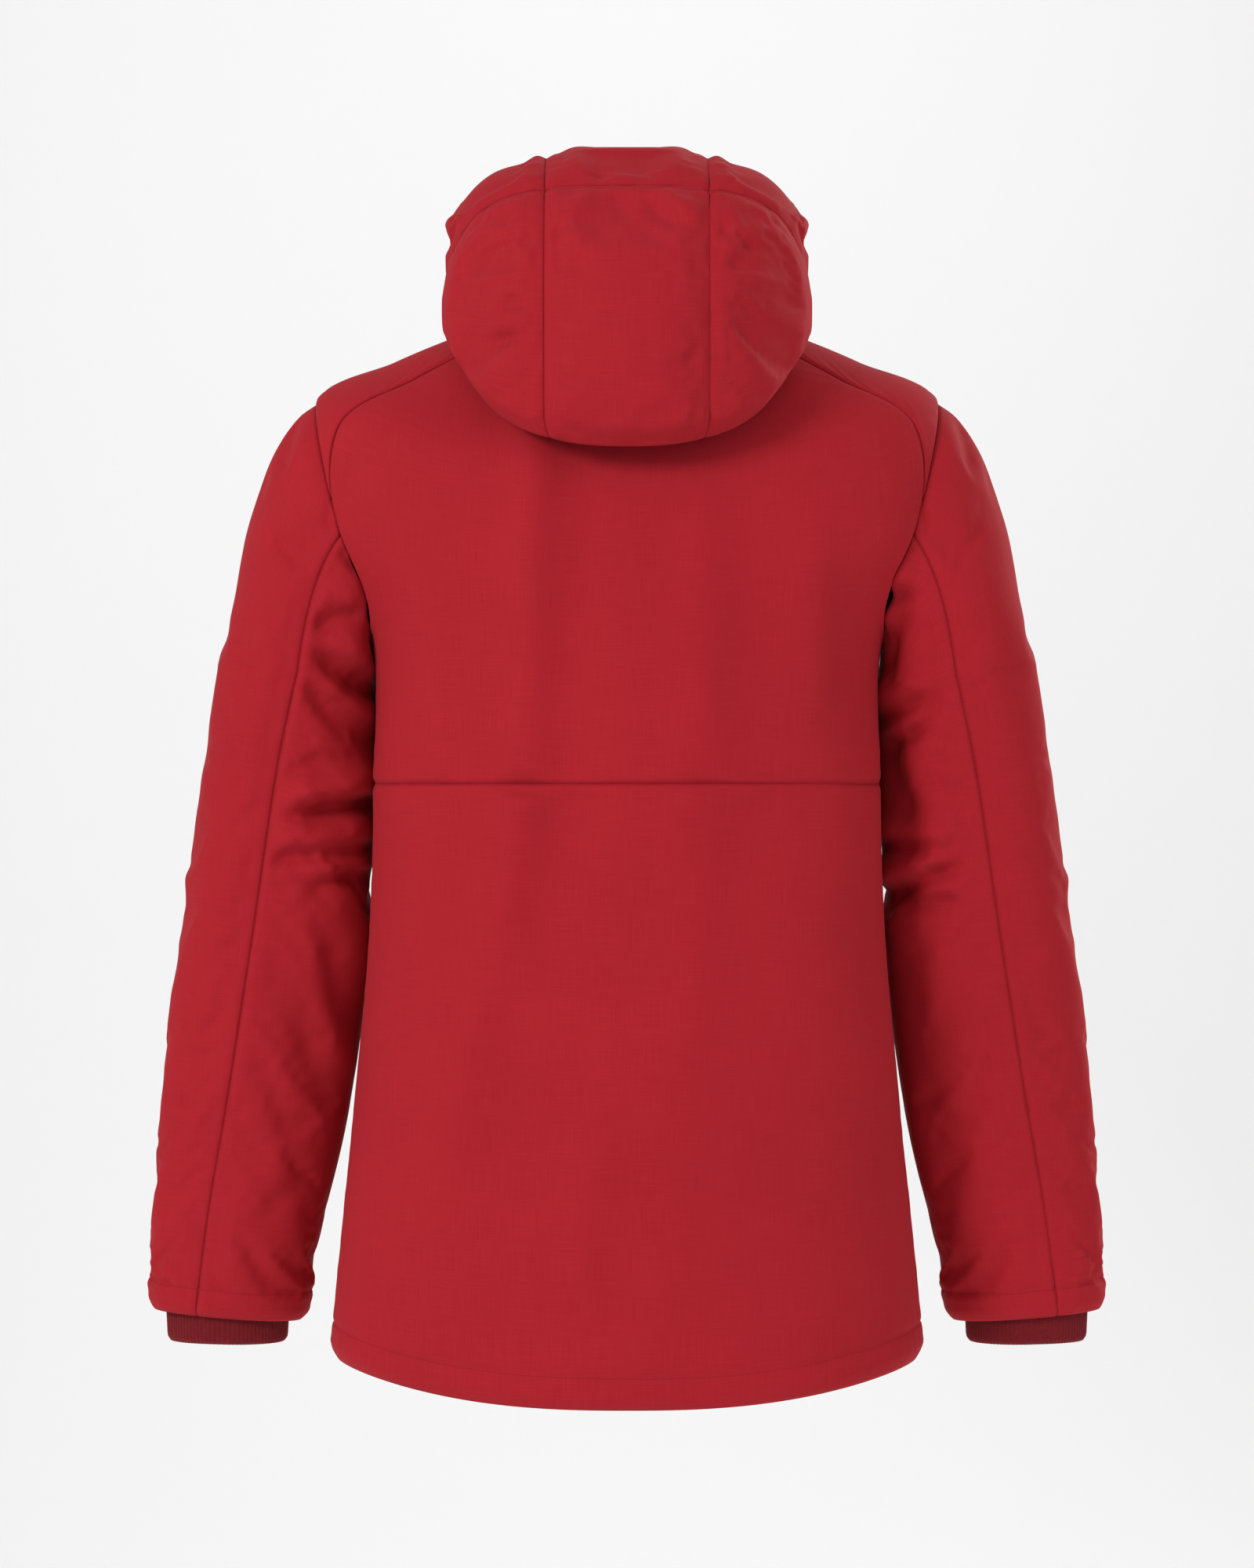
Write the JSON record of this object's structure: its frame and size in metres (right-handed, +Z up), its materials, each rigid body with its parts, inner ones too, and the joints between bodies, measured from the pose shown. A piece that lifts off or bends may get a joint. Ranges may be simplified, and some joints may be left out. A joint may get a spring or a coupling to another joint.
{
  "type": "ski jacket",
  "caption": "Hooded insulated ski jacket with raglan shoulders, full front zip, three zip pockets, rib cuffs and a powder skirt, filled as if worn.",
  "frame": {"origin": "centre of the neck opening, level with the tops of the shoulders, where the jacket rests when worn", "axes": "+Z up, -Y the jacket's front, +X the wearer's left"},
  "size_m": [0.7282, 0.3214, 0.9196],
  "materials": {
    "shell_cloth": "matte",
    "wadding": "matte",
    "lining_taffeta": "satin",
    "rib_knit": "matte",
    "zip_teeth": "satin",
    "zip_tape": "matte",
    "zip_metal": "satin",
    "zip_pull": "matte",
    "skirt_cloth": "matte",
    "label_cloth": "satin"
  },
  "bodies": {
    "jacket_body": {"back_upper": "shell_cloth", "back_lower": "shell_cloth", "front_left": "shell_cloth", "front_right": "shell_cloth", "yoke_left": "shell_cloth", "yoke_right": "shell_cloth", "insulation_back": "wadding", "insulation_front_left": "wadding", "insulation_front_right": "wadding", "lining_back": "lining_taffeta", "lining_front_left": "lining_taffeta", "lining_front_right": "lining_taffeta", "lining_yoke_left": "lining_taffeta", "lining_yoke_right": "lining_taffeta", "collar": "shell_cloth", "collar_lining": "lining_taffeta", "hood_underside": "shell_cloth", "hood_back_centre": "shell_cloth", "hood_back_left": "shell_cloth", "hood_back_right": "shell_cloth", "hood_lining": "lining_taffeta", "sleeve_head_outer_left": "shell_cloth", "sleeve_head_under_left": "shell_cloth", "sleeve_head_outer_right": "shell_cloth", "sleeve_head_under_right": "shell_cloth", "main_zip_tape_left": "zip_teeth", "main_zip_tape_right": "zip_teeth", "storm_flap": "shell_cloth", "hand_pocket_left_zip": "zip_tape", "hand_pocket_right_zip": "zip_tape", "chest_pocket_zip": "zip_tape", "powder_skirt": "skirt_cloth", "hang_loop": "zip_tape", "label_patch": "label_cloth"},
    "hood": {"hood_top_centre": "shell_cloth", "hood_top_left": "shell_cloth", "hood_top_right": "shell_cloth", "hood_brim": "shell_cloth", "hood_eyelet_left": "zip_metal", "hood_eyelet_right": "zip_metal"},
    "sleeve_left": {"sleeve_outer_left": "shell_cloth", "sleeve_under_left": "shell_cloth", "rib_cuff_left": "rib_knit", "insulation_sleeve_left": "wadding", "lining_sleeve_left": "lining_taffeta"},
    "sleeve_right": {"sleeve_outer_right": "shell_cloth", "sleeve_under_right": "shell_cloth", "rib_cuff_right": "rib_knit", "insulation_sleeve_right": "wadding", "lining_sleeve_right": "lining_taffeta"},
    "main_zip_slider": {"main_zip_slider": "zip_metal"},
    "main_zip_pull": {"main_zip_pull": "zip_pull"},
    "hand_pocket_left_slider": {"hand_pocket_left_slider": "zip_metal"},
    "hand_pocket_left_pull": {"hand_pocket_left_pull": "zip_pull"},
    "hand_pocket_right_slider": {"hand_pocket_right_slider": "zip_metal"},
    "hand_pocket_right_pull": {"hand_pocket_right_pull": "zip_pull"},
    "chest_pocket_slider": {"chest_pocket_slider": "zip_metal"},
    "chest_pocket_pull": {"chest_pocket_pull": "zip_pull"}
  },
  "joints": [
    {"name": "hood_tilt", "type": "hinge", "parent": "jacket_body", "child": "hood", "pos_m": [0, 0.01, 0.016], "axis": [-1, 0, 0], "range_deg": [0, 60], "deforming": ["hood_back_centre", "hood_back_left", "hood_back_right", "hood_lining"]},
    {"name": "sleeve_left_swing", "type": "hinge", "parent": "jacket_body", "child": "sleeve_left", "pos_m": [0.215, 0, -0.19], "axis": [0, -1, 0], "range_deg": [0, 50], "deforming": ["sleeve_head_outer_left", "sleeve_head_under_left", "insulation_sleeve_left", "lining_sleeve_left"]},
    {"name": "sleeve_right_swing", "type": "hinge", "parent": "jacket_body", "child": "sleeve_right", "pos_m": [-0.215, 0, -0.19], "axis": [0, 1, 0], "range_deg": [0, 50], "deforming": ["sleeve_head_outer_right", "sleeve_head_under_right", "insulation_sleeve_right", "lining_sleeve_right"]},
    {"name": "main_zip_travel", "type": "slide", "parent": "jacket_body", "child": "main_zip_slider", "axis": [0, -0.0698, -0.9976], "range_m": [0, 0.74]},
    {"name": "main_zip_pull_swing", "type": "hinge", "parent": "main_zip_slider", "child": "main_zip_pull", "pos_m": [0, -0.09925, 0.02225], "axis": [-1, 0, 0], "range_deg": [0, 150]},
    {"name": "hand_pocket_left_travel", "type": "slide", "parent": "jacket_body", "child": "hand_pocket_left_slider", "axis": [0.2067, 0.011, -0.9783], "range_m": [0, 0.14]},
    {"name": "hand_pocket_left_pull_swing", "type": "hinge", "parent": "hand_pocket_left_slider", "child": "hand_pocket_left_pull", "pos_m": [0.10498, -0.11987, -0.39881], "axis": [-0.8864, -0.4212, -0.192], "range_deg": [0, 150]},
    {"name": "hand_pocket_right_travel", "type": "slide", "parent": "jacket_body", "child": "hand_pocket_right_slider", "axis": [-0.2067, 0.011, -0.9783], "range_m": [0, 0.14]},
    {"name": "hand_pocket_right_pull_swing", "type": "hinge", "parent": "hand_pocket_right_slider", "child": "hand_pocket_right_pull", "pos_m": [-0.10498, -0.11987, -0.39881], "axis": [-0.8864, 0.4212, 0.192], "range_deg": [0, 150]},
    {"name": "chest_pocket_travel", "type": "slide", "parent": "jacket_body", "child": "chest_pocket_slider", "axis": [-0.0168, -0.0606, -0.998], "range_m": [0, 0.12]},
    {"name": "chest_pocket_pull_swing", "type": "hinge", "parent": "chest_pocket_slider", "child": "chest_pocket_pull", "pos_m": [0.09252, -0.11238, -0.21572], "axis": [-0.9605, -0.2764, 0.0329], "range_deg": [0, 150]}
  ]
}
